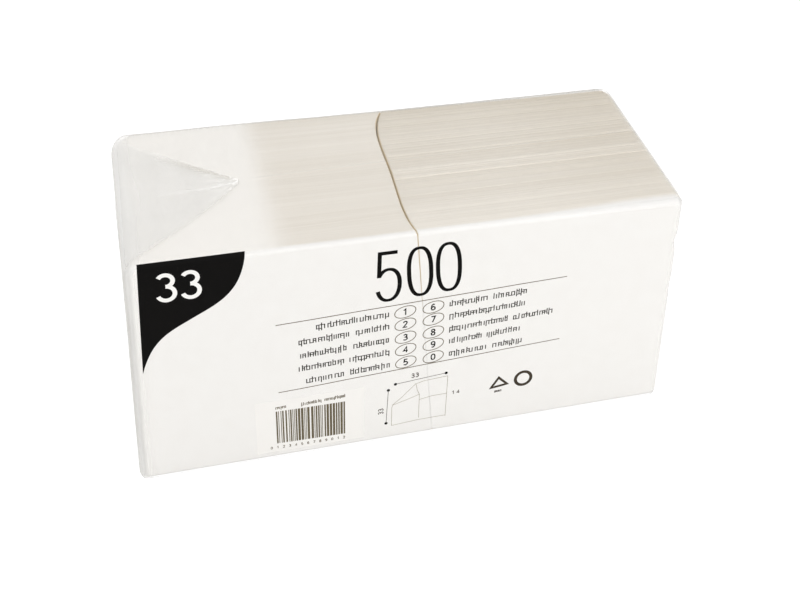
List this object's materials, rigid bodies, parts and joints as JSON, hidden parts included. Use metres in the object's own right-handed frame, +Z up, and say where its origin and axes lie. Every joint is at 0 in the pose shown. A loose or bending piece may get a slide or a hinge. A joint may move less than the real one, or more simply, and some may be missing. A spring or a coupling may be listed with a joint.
{
  "type": "paper napkin pack",
  "caption": "Clear film pack of quarter-folded white paper napkins in two upright stacks side by side, with folded film ears at the ends and plain black print on the front.",
  "frame": {"origin": "middle of the underside of the film bag, on the surface that the pack stands on", "axes": "+X along the pack, across both stacks; +Y from the printed front to the back, through the leaves; +Z up"},
  "size_m": [0.3466, 0.1457, 0.1648],
  "materials": {
    "clear_film": "clear polyethylene film, glossy",
    "napkin_paper": "soft embossed tissue, matte",
    "black_ink": "black flexographic ink on film",
    "white_ink": "white flexographic ink on film"
  },
  "bodies": {
    "root": {"film_wrapper": "clear_film", "napkin_stack_left": "napkin_paper", "napkin_stack_right": "napkin_paper", "front_print": "black_ink", "barcode_field": "white_ink"}
  },
  "joints": []
}
